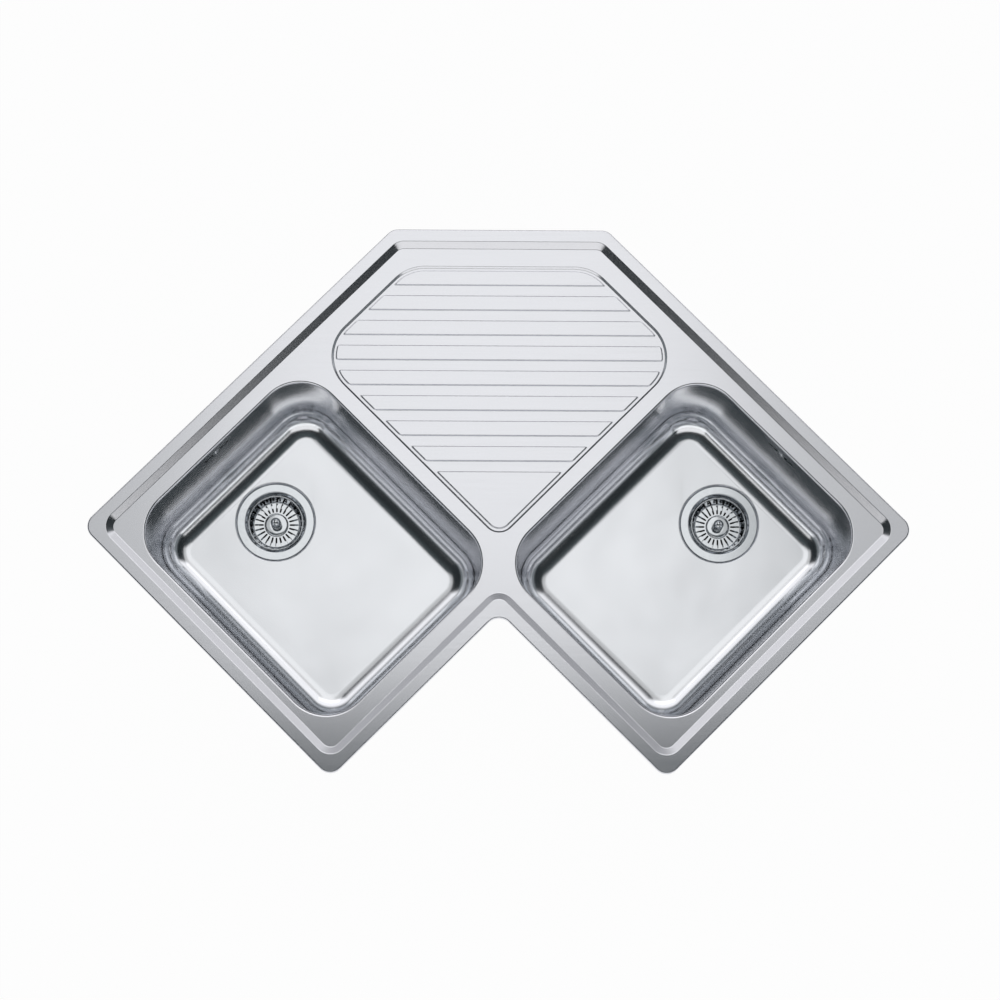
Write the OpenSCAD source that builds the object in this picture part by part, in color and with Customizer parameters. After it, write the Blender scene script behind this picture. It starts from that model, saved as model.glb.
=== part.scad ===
// Corner kitchen sink: pressed steel deck, two bowls set at 45 degrees, drainer, wastes and overflows.
// +X is to the right and +Y points at the wall corner. +Z is up, and Z = 0 is the top of the worktop.

/* [Plan] */
// Length of each back edge, measured from the wall corner
side_len = 830; // [810:5:870]
// Depth of each arm, square to its back edge
arm_depth = 500; // [490:1:530]
// How far the cut corner runs along each wall
cut_leg = 218; // [180:1:240]
// Radius of the outer corners and of the notch
outline_r = 20; // [16:1:28]

/* [Rim and deck] */
// Thickness of the steel sheet
sheet_t = 1; // [0.8:0.1:1.2]
// Height of the rim above the worktop
rim_h = 7; // [6.5:0.5:9]
// Width of the flat top of the rim
rim_w = 17.5; // [16:0.5:20]
// Width of the slope from the rim to the deck
slope_w = 10; // [8:0.5:11]
// How far the deck lies below the rim
deck_drop = 5.5; // [4:0.5:6]
// Radius of the slope's upper edge at the outer corners
slope_r = 24; // [20:1:32]
// Radius of the slope's upper edge at the notch
slope_notch_r = 15; // [10:1:20]
// Gap between the worktop and the rim's turned-down edge
skirt_gap = 0.5; // [0.3:0.1:1]
// Width of the rim seal
seal_w = 9; // [7:0.5:11]
// How far the rim seal lies in from the rim's edge
seal_inset = 3; // [2:0.5:4]

/* [Bowls] */
// Size of a bowl's mouth along its back edge
bowl_w = 340; // [320:5:345]
// Depth of a bowl below the deck
bowl_depth = 180; // [165:5:200]
// Radius of the mouth's corners
bowl_r = 62; // [58:1:75]
// Lean of the walls in degrees
bowl_draft = 3.5; // [2:0.5:4]
// Radius between wall and floor
floor_r = 38; // [30:1:40]
// Radius of the lip between deck and bowl
lip_r = 3.5; // [3:0.5:5]
// Distance from the back edge to the bowl's back wall
back_land = 50; // [49:1:54]
// Distance from the front edge to the bowl's front wall
front_land = 50; // [48:1:60]
// Distance from the arm's end to the bowl's wall
end_land = 40.5; // [40:0.5:46]
// How far below the deck the bowl is welded on
weld_depth = 12; // [10:1:15]

/* [Drainer] */
// Distance from the back edges and the cut edge to the drainer
drainer_land = 53; // [50:1:60]
// Distance from the drainer to a bowl's wall
drainer_gap = 23; // [20:1:30]
// Depth of the drainer's floor below the deck
drainer_depth = 2; // [1.5:0.25:3]
// Width of the drainer's sloped edge
drainer_edge_w = 3; // [2:0.5:4]
// Radius of the drainer's four upper corners
wing_r = 61; // [50:1:80]
// Radius of the drainer's lowest corner
tip_r = 24; // [18:1:40]
// Distance from one bar to the next
bar_pitch = 36.5; // [32:0.5:42]
// Width of a bar
bar_w = 22.3; // [18:0.1:26]
// Height of a bar above the drainer's floor
bar_h = 1.8; // [1.2:0.1:2]
// Distance from the drainer's outline to the bars
bar_inset = 6; // [5:0.5:9]
// Number of full bars above the pointed one
bar_count = 8; // [6:1:8]

/* [Waste] */
// Distance from the bowl's back wall to the middle of the waste
waste_back = 107.5; // [107:0.5:125]
// Radius of the pressed recess that the waste sits in
recess_r = 59; // [58:0.5:60]
// Depth of the recess
recess_depth = 4; // [3.5:0.5:5]
// Width of the recess's sloped side
recess_slope_w = 3; // [2:0.5:4]
// Radius of the hole in the bowl's floor
waste_hole_r = 45; // [44.5:0.5:46]
// Radius of the strainer cup's mouth
cup_r = 42; // [40.5:0.5:42.5]
// Depth of the strainer cup below the floor
cup_depth = 35; // [33:1:40]
// Radius of the threaded outlet, an inch and a half pipe thread
outlet_r = 23.9; // [20:0.1:30]
// Length of the threaded outlet
outlet_len = 30; // [25:1:40]
// Radius of the clamp screw
screw_r = 3; // [2.5:0.5:3]

/* [Basket] */
// Radius of the basket's rim
basket_r = 41; // [38.5:0.1:41.2]
// Number of slots in the basket's base
slot_count = 24; // [16:1:26]
// Width of a basket slot
slot_w = 2.6; // [1.6:0.1:2.8]
// Radius of the plain disc in the middle of the base
disc_r = 19; // [16:0.5:20]
// Radius of the basket seal
seal_disc_r = 26; // [22:0.5:28]
// Radius of the lift knob
knob_r = 7.5; // [6:0.5:9]

/* [Overflow] */
// Distance from the deck down to the overflow holes
overflow_drop = 24; // [22:1:30]
// Size of a square overflow hole
overflow_hole = 6.3; // [5:0.1:7]
// Distance from one overflow hole to the next
overflow_pitch = 9.8; // [9:0.1:11]
// Number of overflow holes
overflow_count = 5; // [3:2:5]
// Radius of the hose at the top of its ribs
hose_r = 13; // [12:0.5:14]
// Distance from one hose rib to the next
rib_pitch = 4.2; // [3.6:0.2:6]
// Bend radius of the hose
hose_bend = 42; // [38:1:42]

/* [Fixings] */
// Thickness of a worktop that the clips reach round
worktop_t = 38; // [28:1:42]
// Width of a clip bracket
bracket_w = 30; // [24:1:36]
// Thickness of the bracket and clip steel
clip_t = 1.5; // [1.2:0.1:1.8]
// Radius of a clip screw
clip_screw_r = 2; // [1.5:0.25:2.5]

/* [Hidden] */
$fn = 96;

left = -1;
right = 1;
steel = [0.80, 0.81, 0.83];
bright_steel = [0.88, 0.89, 0.90];
zinc = [0.66, 0.68, 0.70];
black_rubber = [0.10, 0.10, 0.11];
grey_plastic = [0.30, 0.31, 0.33];
pad_grey = [0.22, 0.22, 0.24];
// Overrun of every cut, and overlap of pieces of one sheet
over = 1;
// Where a plate ends inside the overlapping edge of the section that carries it on
joint = over / 2;
// How much fuller a pan's corner is than its sides, so that they cross cleanly
corner_lap = 0.002;
// Gap between pieces that are seated on each other but not pressed together
seat_gap = 0.3;
// Running clearance of the basket post in the basket seal
run_gap = 0.05;

// Levels
deck_z = rim_h - deck_drop;
floor_z = deck_z - bowl_depth;
weld_z = deck_z - weld_depth;

// The outline in the walls' frame: its origin is the wall corner, x runs along the right wall
// and -y along the left one
corner_y = (cut_leg + side_len + arm_depth) / (2 * sqrt(2));
plan = [[cut_leg, 0], [0, -cut_leg], [0, -side_len], [arm_depth, -side_len], [arm_depth, -arm_depth],
    [side_len, -arm_depth], [side_len, 0]];
notch_at = 4;
plan_r = [for (i = [0:len(plan) - 1]) outline_r];
slope_top_r = [for (i = [0:len(plan) - 1]) i == notch_at ? slope_notch_r : slope_r];

// Bowl places; the mouth's length square to its back edge is what the lands leave of the arm
bowl_l = arm_depth - back_land - front_land;
bowl_u = side_len - end_land - bowl_w / 2;
bowl_v = back_land + bowl_l / 2;
bowl_plan = [[bowl_w, -bowl_l] / 2, [bowl_w, bowl_l] / 2, [-bowl_w, bowl_l] / 2, [-bowl_w, -bowl_l] / 2];
bowl_plan_r = [for (i = [0:3]) bowl_r];
draft_run = tan(bowl_draft);
// Middle of the floor radius, measured out from the wall line and up
fillet_mid = [-(bowl_depth - floor_r) * draft_run - floor_r / cos(bowl_draft), floor_z + floor_r];
// Middle of the lip radius
lip_mid = [lip_r / cos(bowl_draft) - lip_r * draft_run, deck_z - lip_r];
wall_out = sheet_t / cos(bowl_draft);

// Drainer points, in the walls' frame
drainer_end = bowl_u - bowl_w / 2 - drainer_gap;
drainer_cut = cut_leg + drainer_land * (sqrt(2) - 1);
drainer_plan = [[drainer_cut, -drainer_land], [drainer_land, -drainer_cut],
    [drainer_land, -drainer_end], [drainer_end, -drainer_end], [drainer_end, -drainer_land]];
drainer_plan_r = [wing_r, wing_r, wing_r, tip_r, wing_r];
drainer_z = deck_z - drainer_depth;
// Distance from the wall corner to the drainer's edge along the cut corner
drainer_from = (drainer_cut + drainer_land) / sqrt(2);
bar_wall = 1.6;

// Waste levels, measured from the bowl's floor
gasket_t = 1;
flange_t = 1.2;
cup_t = 1;
ledge_z = -recess_depth;
flange_z = ledge_z + gasket_t;
ledge_r = recess_r - recess_slope_w;
flange_r = ledge_r + gasket_t * recess_slope_w / recess_depth - seat_gap;
cup_base_z = -cup_depth;
cup_slope_h = 4;
cup_slope_w = 3;
cup_foot_r = 38;
body_gasket_t = 3;
body_top_z = ledge_z - sheet_t - body_gasket_t;
body_flange_t = 4;
body_flange_r = 57;
body_in_r = 46.5;
body_wall = 3.5;
chamber_h = 15;
body_base_z = cup_base_z - chamber_h;
outlet_wall = 3.9;
drain_hole_r = 4.6;
drain_hole_pcd = 31;
drain_holes = 6;
boss_r = 7.5;
boss_web_t = 3;
boss_web_lift = 1;
boss_webs = 3;
head_r = 5.5;
head_h = 4.5;
hole_gap = 0.3;
nut_r = 5.8;
nut_h = 5;
screw_tail = 4;
waste_y = bowl_l / 2 - waste_back;

// Basket levels, measured from the bowl's floor
post_r = 8;
stem_r = 4;
post_socket_h = head_h + hole_gap + run_gap;
post_foot_z = cup_base_z + seat_gap;
post_foot_h = 6;
seal_t = 2.5;
seal_hub_r = 13;
basket_t = 1;
basket_under_z = post_foot_z + post_foot_h;
basket_base_z = basket_under_z + basket_t;
basket_foot_r = 34;
basket_sunk = 1.4;
basket_rim_z = flange_z + flange_t - cup_slope_h - basket_sunk;
rim_bead_r = 1.2;
slot_from = disc_r;
slot_to = 32.5;
wall_slot_low = 4.5;
wall_slot_high = 3.5;
wall_slot_w = 3.4;
hub_r = 6;
knob_h = 10;
knob_proud = 1;
knob_z = knob_proud - knob_h;
knob_grip = 6;

// Overflow sizes
overflow_margin = 6;
overflow_face_w = (overflow_count - 1) * overflow_pitch + overflow_hole + 2 * overflow_margin;
overflow_face_h = 20;
overflow_gasket_t = 2;
overflow_plate_t = 3;
overflow_box_d = 22;
overflow_wall = 2;
overflow_land = 5;
overflow_screw_r = 1.5;
overflow_head_r = 3.6;
overflow_head_h = 1.6;
overflow_boss_r = 4;
hose_wall = 1;
hose_rib_h = 1.1;
hose_sides = 8;
spigot_r = 9.6;
spigot_bore_r = 7.6;
spigot_len = 18;
spigot_stop = 1.5;
hose_out = 16;
hose_y = bowl_l / 2 + hose_out;
overflow_depth = sheet_t + overflow_gasket_t + overflow_plate_t + overflow_box_d;
hose_top_z = deck_z - overflow_drop - overflow_face_h / 2 - overflow_depth * sin(bowl_draft) - spigot_stop;
inlet_rise = 3;
hose_low_z = floor_z + cup_base_z + inlet_rise;
body_inlet_y = waste_y + body_in_r + body_wall;
hose_end_y = body_inlet_y + spigot_stop;
cuff_len = 2 * hose_r;
band_w = 8;
band_t = 1.4;
band_at = 12;

// Fixing sizes, measured in from the outline
bracket_in = rim_w + slope_w + sheet_t;
bracket_tab = 7;
bracket_h = 20;
bracket_slot_w = 16;
bracket_slot_h = 5;
bracket_slot_low = 6;
clip_w = 16;
clip_hook = 4;
clip_hook_side = 1;
clip_foot_in = 6;
clip_drop = 8;
clip_screw_in = 10;
clip_head_r = 4;
clip_head_h = 3.5;
clip_screw_tail = 9;
tap_gap = 0.1;
clip_shares = [[0.2, 0.8], [0.16, 0.42, 0.86], [0.25, 0.75], [0.5], [0.5], [0.25, 0.75], [0.14, 0.58, 0.84]];

// Sound pad
pad_w = 170;
pad_t = 2.5;
pad_share = 0.75;
// The floor's flat in front of the recess, of which the pad takes its share
flat_from = -bowl_l / 2 - fillet_mid.x;
flat_len = waste_y - recess_r - flat_from;
pad_l = pad_share * flat_len;
pad_from = flat_from + (flat_len - pad_l) / 2;

// Corner geometry of an outline whose points run counter-clockwise
function direction(a, b) = (b - a) / norm(b - a);
function way_in(pts, i) = direction(pts[(i + len(pts) - 1) % len(pts)], pts[i]);
function way_out(pts, i) = direction(pts[i], pts[(i + 1) % len(pts)]);
function left_of(d) = [-d.y, d.x];
function angle_of(d) = atan2(d.y, d.x);
// Turn at corner i in degrees, positive where the outline is convex
function turn_at(pts, i) = atan2(cross(way_in(pts, i), way_out(pts, i)), way_in(pts, i) * way_out(pts, i));
function tangent_len(pts, i, r) = r * tan(abs(turn_at(pts, i)) / 2);
function arc_start(pts, i, r) = pts[i] - way_in(pts, i) * tangent_len(pts, i, r);
function arc_end(pts, i, r) = pts[i] + way_out(pts, i) * tangent_len(pts, i, r);
function arc_mid(pts, i, r) = arc_start(pts, i, r) + left_of(way_in(pts, i)) * r * sign(turn_at(pts, i));
// The outline moved inwards by d, and the radii that keep it parallel
function inset(pts, d) = [for (i = [0:len(pts) - 1])
    let(a = left_of(way_in(pts, i)), b = left_of(way_out(pts, i))) pts[i] + d * (a + b) / (1 + a * b)];
function inset_r(pts, radii, d) = [for (i = [0:len(pts) - 1]) radii[i] - d * sign(turn_at(pts, i))];

// The small web between a corner's point and its arc
module corner_web(pts, i, r) {
    mid = arc_mid(pts, i, r);
    beyond = pts[i] + direction(mid, pts[i]) * over;
    difference() {
        polygon([arc_start(pts, i, r), beyond, arc_end(pts, i, r), mid]);
        translate(mid) circle(r);
    }
}

// A flat outline with true arcs at its corners; a corner that turns in is filled up to its arc's middle
// and cut back to the arc
module rounded(pts, radii) {
    difference() {
        polygon([for (i = [0:len(pts) - 1]) each turn_at(pts, i) > 0 ? [pts[i]]
            : [arc_start(pts, i, radii[i]), arc_mid(pts, i, radii[i]), arc_end(pts, i, radii[i])]]);
        for (i = [0:len(pts) - 1])
            if (turn_at(pts, i) > 0)
                corner_web(pts, i, radii[i]);
            else
                translate(arc_mid(pts, i, radii[i])) circle(radii[i]);
    }
}

// A section along the straight stretch from corner i to the next; the section's x is the distance
// outwards and its y is the height
module run(pts, radii, i) {
    next = (i + 1) % len(pts);
    from = arc_end(pts, i, radii[i]);
    to = arc_start(pts, next, radii[next]);
    translate(to) rotate(angle_of(way_out(pts, i)) - 90) rotate([90, 0, 0])
        linear_extrude(norm(to - from)) children();
}

// The same section round corner i
module bend(pts, radii, i) {
    r = radii[i];
    out_angle = angle_of(-left_of(way_in(pts, i)));
    turn = turn_at(pts, i);
    translate(arc_mid(pts, i, r))
        if (turn > 0)
            rotate(out_angle) rotate_extrude(angle = turn) translate([r, 0]) children();
        else
            rotate(out_angle + 180 + turn)
                rotate_extrude(angle = -turn) translate([r, 0]) mirror([1, 0]) children();
}

module sweep(pts, radii) {
    for (i = [0:len(pts) - 1]) {
        run(pts, radii, i) children();
        bend(pts, radii, i) children();
    }
}

// Section of a sheet that is bent once: two outlines, each rounded at its second point
module bent_sheet(outside, r_out, inside, r_in) {
    difference() {
        polygon(outside);
        corner_web(outside, 1, r_out);
        difference() {
            polygon(inside);
            corner_web(inside, 1, r_in);
        }
    }
}

// Places the walls' frame in the part's own frame
module at_walls() {
    translate([0, corner_y, 0]) rotate(-45) children();
}

module at_bowl(side) {
    mirror([side == left ? 1 : 0, 0, 0]) at_walls() translate([bowl_u, -bowl_v, 0]) children();
}

// Both bowls' places within the walls' frame
module at_mouths() {
    translate([bowl_u, -bowl_v, 0]) children();
    mirror([1, 1, 0]) translate([bowl_u, -bowl_v, 0]) children();
}

module at_waste(side) {
    at_bowl(side) translate([0, waste_y, floor_z]) children();
}

// On the back wall at the overflow, with y through the wall and z up along it
module at_overflow(side) {
    at_bowl(side)
        translate([0, bowl_l / 2 - overflow_drop * draft_run, deck_z - overflow_drop])
            rotate([-bowl_draft, 0, 0]) children();
}

module at_clips() {
    at_walls() for (i = [0:len(plan) - 1])
        for (share = clip_shares[i])
            translate(plan[i] + share * (plan[(i + 1) % len(plan)] - plan[i]))
                rotate(angle_of(way_out(plan, i))) children();
}

// The plan drawn in by d, as a block between two heights
module plan_block(d, low, high) {
    translate([0, 0, low]) linear_extrude(high - low) rounded(inset(plan, d), inset_r(plan, plan_r, d));
}

// Side of a pan in section, carried on above its edge
module pan_side(slope_run, depth) {
    rise = 2 * over;
    polygon([[-slope_run - over, 0], [-slope_run, 0], [slope_run * rise / depth, depth + rise],
        [-slope_run - over, depth + rise]]);
}

// A pan-shaped space: its flat bottom is at z = 0 and its sides slope up to the outline at z = depth.
// Cones fill its outward corners
module pan(pts, radii, slope_run, depth) {
    inner = slope_run + joint;
    linear_extrude(depth + 3 * over) rounded(inset(pts, inner), inset_r(pts, radii, inner));
    for (i = [0:len(pts) - 1]) {
        run(pts, radii, i) pan_side(slope_run, depth);
        if (turn_at(pts, i) > 0)
            translate(arc_mid(pts, i, radii[i]))
                cylinder(h = depth + over, r1 = radii[i] + corner_lap - slope_run,
                    r2 = radii[i] + corner_lap + slope_run * over / depth);
        else
            bend(pts, radii, i) pan_side(slope_run, depth);
    }
}

// Space inside the rim and above the deck; inwards and downwards by d it bounds the sheet's underside
module deck_pan(d) {
    in = d / 2;
    translate([0, 0, deck_z - d])
        pan(inset(plan, rim_w + in), inset_r(plan, slope_top_r, in), slope_w, deck_drop);
}

module drainer_pan(d) {
    in = d / 2;
    translate([0, 0, drainer_z - d])
        pan(inset(drainer_plan, in), inset_r(drainer_plan, drainer_plan_r, in), drainer_edge_w,
            drainer_depth);
}

// Lip that turns down into a bowl, ending at the weld
module lip_section() {
    far = lip_mid.x + 2 * over;
    low = weld_z - over;
    bent_sheet([[far, deck_z], [0, deck_z], [-weld_depth * draft_run, weld_z], [far, weld_z]], lip_r,
        [[far + over, deck_z - sheet_t], [wall_out - sheet_t * draft_run, deck_z - sheet_t],
            [wall_out - (weld_depth + over) * draft_run, low], [far + over, low]], lip_r - sheet_t);
}

// Bar i in plan, drawn in by a margin; the first one's upper edge is the drawn in outline's own, and the
// last one runs on into the drainer's tip
module bar_plan(i, margin) {
    d = bar_inset + margin;
    early = i == 0 ? over : 0;
    from = drainer_from + bar_inset + i * bar_pitch + margin - early;
    length = (i < bar_count ? bar_w - 2 * margin : side_len) + early;
    intersection() {
        rounded(inset(drainer_plan, d), inset_r(drainer_plan, drainer_plan_r, d));
        rotate(45) translate([-side_len / 2, -from - length]) square([side_len, length]);
    }
}

// Space above the sheet: inside the rim, and in the drainer around its bars
module space_above() {
    deck_pan(0);
    difference() {
        drainer_pan(0);
        translate([0, 0, drainer_z - over]) linear_extrude(bar_h + over)
            for (i = [0:bar_count]) bar_plan(i, 0);
    }
}

// Space below the sheet: under the rim, the deck and the drainer, and up inside the bars
module space_below() {
    low = drainer_z - sheet_t - over;
    difference() {
        union() {
            plan_block(-over, low - over, skirt_gap);
            plan_block(sheet_t, low - over, rim_h - sheet_t);
        }
        deck_pan(sheet_t);
        difference() {
            drainer_pan(sheet_t);
            translate([0, 0, drainer_z - sheet_t - over]) linear_extrude(bar_h + over)
                for (i = [0:bar_count]) bar_plan(i, bar_wall);
        }
    }
}

module sink_deck() color(steel) at_walls() {
    mouth_out = -lip_mid.x - over;
    difference() {
        plan_block(0, drainer_z - sheet_t - over, rim_h);
        space_above();
        space_below();
        at_mouths() translate([0, 0, -bowl_depth]) linear_extrude(2 * bowl_depth)
            rounded(inset(bowl_plan, mouth_out), inset_r(bowl_plan, bowl_plan_r, mouth_out));
    }
    at_mouths() sweep(bowl_plan, bowl_plan_r) lip_section();
}

// Wall, floor radius and the floor's edge
module bowl_section() {
    inner = fillet_mid.x - 2 * over;
    high = weld_z + over;
    bent_sheet([[inner, floor_z - sheet_t],
            [wall_out - (bowl_depth + sheet_t) * draft_run, floor_z - sheet_t],
            [wall_out - weld_depth * draft_run, weld_z], [inner, weld_z]], floor_r + sheet_t,
        [[inner - over, floor_z], [-bowl_depth * draft_run, floor_z],
            [-(weld_depth - over) * draft_run, high], [inner - over, high]], floor_r);
}

// Pressed recess that the strainer's flange lies in
module recess_section() {
    polygon([[waste_hole_r, ledge_z], [ledge_r, ledge_z], [recess_r, 0],
        [recess_r + over, 0], [recess_r + over, -sheet_t], [recess_r + sheet_t / 2, -sheet_t],
        [ledge_r + sheet_t / 2, ledge_z - sheet_t], [waste_hole_r, ledge_z - sheet_t]]);
}

module bowl(side) color(steel) {
    flat = -fillet_mid.x + over;
    difference() {
        union() {
            at_bowl(side) sweep(bowl_plan, bowl_plan_r) bowl_section();
            at_bowl(side) translate([0, 0, floor_z - sheet_t]) linear_extrude(sheet_t) difference() {
                rounded(inset(bowl_plan, flat), inset_r(bowl_plan, bowl_plan_r, flat));
                translate([0, waste_y]) circle(recess_r + joint);
            }
            at_waste(side) rotate_extrude() recess_section();
        }
        at_overflow(side)
            for (i = [0:overflow_count - 1])
                translate([(i - (overflow_count - 1) / 2) * overflow_pitch, 0, 0])
                    cube([overflow_hole, 4 * sheet_t, overflow_hole], center = true);
    }
}

module rim_seal() color(black_rubber) at_walls() difference() {
    plan_block(seal_inset, 0, rim_h - sheet_t);
    plan_block(seal_inset + seal_w, -over, rim_h - sheet_t + over);
}

module clip_brackets() color(zinc) {
    top = deck_z - sheet_t;
    slot_z = top - bracket_h + bracket_slot_low;
    at_clips() difference() {
        translate([-bracket_w / 2, bracket_in, top - bracket_h])
            cube([bracket_w, bracket_tab, bracket_h]);
        translate([-bracket_w / 2 - over, bracket_in + clip_t, top - bracket_h - over])
            cube([bracket_w + 2 * over, bracket_tab, bracket_h - clip_t + over]);
        translate([-bracket_slot_w / 2, bracket_in - over, slot_z])
            cube([bracket_slot_w, clip_t + 2 * over, bracket_slot_h]);
    }
}

module fixing_clips() color(zinc) {
    hook_z = deck_z - sheet_t - bracket_h + bracket_slot_low + seat_gap;
    back_y = bracket_in + clip_t + seat_gap;
    foot_z = -worktop_t - clip_drop;
    hook_w = bracket_slot_w - 2 * clip_hook_side;
    at_clips() difference() {
        union() {
            translate([-clip_w / 2, back_y, foot_z]) cube([clip_w, clip_t, hook_z + clip_t - foot_z]);
            translate([-hook_w / 2, back_y - clip_hook - clip_t, hook_z])
                cube([hook_w, clip_hook + 2 * clip_t, clip_t]);
            translate([-clip_w / 2, clip_foot_in, foot_z])
                cube([clip_w, back_y + clip_t - clip_foot_in, clip_t]);
        }
        translate([0, clip_screw_in, foot_z - over])
            cylinder(h = clip_t + 2 * over, r = clip_screw_r + tap_gap);
    }
}

module clip_screws() color(zinc) {
    tip_z = -worktop_t;
    low_z = tip_z - clip_drop - clip_screw_tail;
    at_clips() translate([0, clip_screw_in, 0]) {
        translate([0, 0, low_z]) cylinder(h = tip_z - low_z, r = clip_screw_r);
        translate([0, 0, low_z - clip_head_h]) cylinder(h = clip_head_h, r = clip_head_r);
    }
}

module sound_pad(side) color(pad_grey)
    at_bowl(side) translate([-pad_w / 2, pad_from, floor_z - sheet_t - pad_t])
        cube([pad_w, pad_l, pad_t]);

// Dish with a flat flange, a short slope and a nearly straight wall
module cup_section() {
    top = flange_z + flange_t;
    low = top - cup_slope_h;
    polygon([[flange_r, flange_z], [flange_r, top], [cup_r + cup_slope_w, top], [cup_r, low],
        [cup_foot_r, cup_base_z], [0, cup_base_z], [0, cup_base_z - cup_t],
        [cup_foot_r + cup_t, cup_base_z - cup_t], [cup_r + cup_t, low],
        [cup_r + cup_slope_w, flange_z]]);
}

module strainer_cup(side) color(bright_steel)
    at_waste(side) difference() {
        rotate_extrude() cup_section();
        translate([0, 0, cup_base_z - cup_t - over])
            cylinder(h = cup_t + 2 * over, r = screw_r + hole_gap);
        for (i = [0:drain_holes - 1])
            rotate(i * 360 / drain_holes) translate([drain_hole_pcd / 2, 0, cup_base_z - cup_t - over])
                cylinder(h = cup_t + 2 * over, r = drain_hole_r);
    }

module flat_ring(r_in, r_out, h) {
    difference() {
        cylinder(h = h, r = r_out);
        translate([0, 0, -over]) cylinder(h = h + 2 * over, r = r_in);
    }
}

module flange_gasket(side) color(black_rubber)
    at_waste(side) translate([0, 0, ledge_z])
        flat_ring(cup_r + cup_slope_w + seat_gap, ledge_r - seat_gap, gasket_t);

module body_gasket(side) color(black_rubber)
    at_waste(side) translate([0, 0, body_top_z])
        flat_ring(body_in_r, body_flange_r - over, body_gasket_t);

// Plastic waste body: flange, round chamber, cone and threaded outlet
module body_section() {
    out_r = body_in_r + body_wall;
    cone_z = body_base_z - body_in_r + outlet_r - outlet_wall;
    outlet_z = cone_z - outlet_len;
    polygon([[body_in_r, body_top_z], [body_flange_r, body_top_z],
        [body_flange_r, body_top_z - body_flange_t], [out_r, body_top_z - body_flange_t],
        [out_r, body_base_z], [outlet_r + body_wall, cone_z],
        [outlet_r, cone_z], [outlet_r, outlet_z], [outlet_r - outlet_wall, outlet_z],
        [outlet_r - outlet_wall, cone_z], [body_in_r, body_base_z]]);
}

module waste_body(side) color(grey_plastic)
    at_waste(side) {
        boss_top = cup_base_z - cup_t - seat_gap;
        boss_low = body_base_z;
        inlet_z = hose_low_z - floor_z;
        difference() {
            union() {
                rotate_extrude() body_section();
                translate([0, 0, boss_low]) cylinder(h = boss_top - boss_low, r = boss_r);
                for (i = [0:boss_webs - 1])
                    rotate(90 + (i + 0.5) * 360 / boss_webs)
                        translate([0, -boss_web_t / 2, boss_low + boss_web_lift])
                            cube([body_in_r + over, boss_web_t, boss_top - boss_low - 2 * boss_web_lift]);
                translate([0, body_in_r + over, inlet_z]) rotate([-90, 0, 0])
                    cylinder(h = body_wall + spigot_len, r = spigot_r);
            }
            translate([0, 0, boss_low - over])
                cylinder(h = boss_top - boss_low + 2 * over, r = screw_r + hole_gap);
            translate([0, 0, boss_low - over]) cylinder(h = nut_h + over, r = nut_r + hole_gap);
            translate([0, body_in_r - over, inlet_z]) rotate([-90, 0, 0])
                cylinder(h = body_wall + spigot_len + 3 * over, r = spigot_bore_r);
        }
    }

module clamp_screw(side) color(bright_steel)
    at_waste(side) {
        tail = body_base_z - screw_tail;
        translate([0, 0, cup_base_z]) cylinder(h = head_h, r = head_r);
        translate([0, 0, tail]) cylinder(h = cup_base_z - tail, r = screw_r);
    }

module clamp_nut(side) color("goldenrod")
    at_waste(side) translate([0, 0, body_base_z]) difference() {
        cylinder(h = nut_h - hole_gap, r = nut_r, $fn = 6);
        translate([0, 0, -over]) cylinder(h = nut_h + 2 * over, r = screw_r + tap_gap);
    }

// Post under the knob; its foot is a socket over the clamp screw's head
module basket_post(side) color(bright_steel)
    at_waste(side) difference() {
        union() {
            translate([0, 0, post_foot_z]) cylinder(h = post_foot_h, r = post_r);
            translate([0, 0, post_foot_z]) cylinder(h = knob_z + knob_grip - post_foot_z, r = stem_r);
        }
        translate([0, 0, post_foot_z - over]) cylinder(h = post_socket_h + over, r = head_r + hole_gap);
    }

module basket_seal(side) color(black_rubber)
    at_waste(side) {
        translate([0, 0, post_foot_z]) flat_ring(post_r + run_gap, seal_disc_r, seal_t);
        translate([0, 0, post_foot_z]) flat_ring(post_r + run_gap, seal_hub_r,
            post_foot_h - seat_gap);
    }

module basket_section() {
    bead = [basket_r - rim_bead_r, basket_rim_z - rim_bead_r];
    bore = stem_r + run_gap;
    polygon([[bore, basket_under_z], [basket_foot_r + basket_t, basket_under_z],
        bead + [basket_t / 2, 0], bead - [basket_t / 2, 0], [basket_foot_r, basket_base_z],
        [bore, basket_base_z]]);
    translate(bead) circle(rim_bead_r);
}

module basket(side) color(bright_steel)
    at_waste(side) {
        wall_low = basket_base_z + wall_slot_low;
        wall_high = basket_rim_z - rim_bead_r - wall_slot_high;
        difference() {
            rotate_extrude() basket_section();
            for (i = [0:slot_count - 1])
                rotate(i * 360 / slot_count) {
                    translate([slot_from, -slot_w / 2, basket_under_z - over])
                        cube([slot_to - slot_from, slot_w, basket_t + 2 * over]);
                    rotate(180 / slot_count) translate([slot_to, -wall_slot_w / 2, wall_low])
                        cube([basket_r - slot_to, wall_slot_w, wall_high - wall_low]);
                }
        }
        translate([0, 0, basket_under_z]) flat_ring(stem_r + run_gap, hub_r, knob_z - basket_under_z);
    }

// Round knob with a flat foot
module lift_knob(side) color(bright_steel)
    at_waste(side) translate([0, 0, knob_z]) difference() {
        rotate_extrude() intersection() {
            translate([0, knob_h - knob_r]) circle(knob_r);
            square([knob_r, knob_h]);
        }
        translate([0, 0, -over]) cylinder(h = knob_grip + seat_gap + over, r = stem_r + run_gap);
    }

module overflow_gasket(side) color(black_rubber)
    at_overflow(side) difference() {
        translate([-overflow_face_w / 2, sheet_t, -overflow_face_h / 2])
            cube([overflow_face_w, overflow_gasket_t, overflow_face_h]);
        window(sheet_t, overflow_gasket_t);
    }

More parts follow.
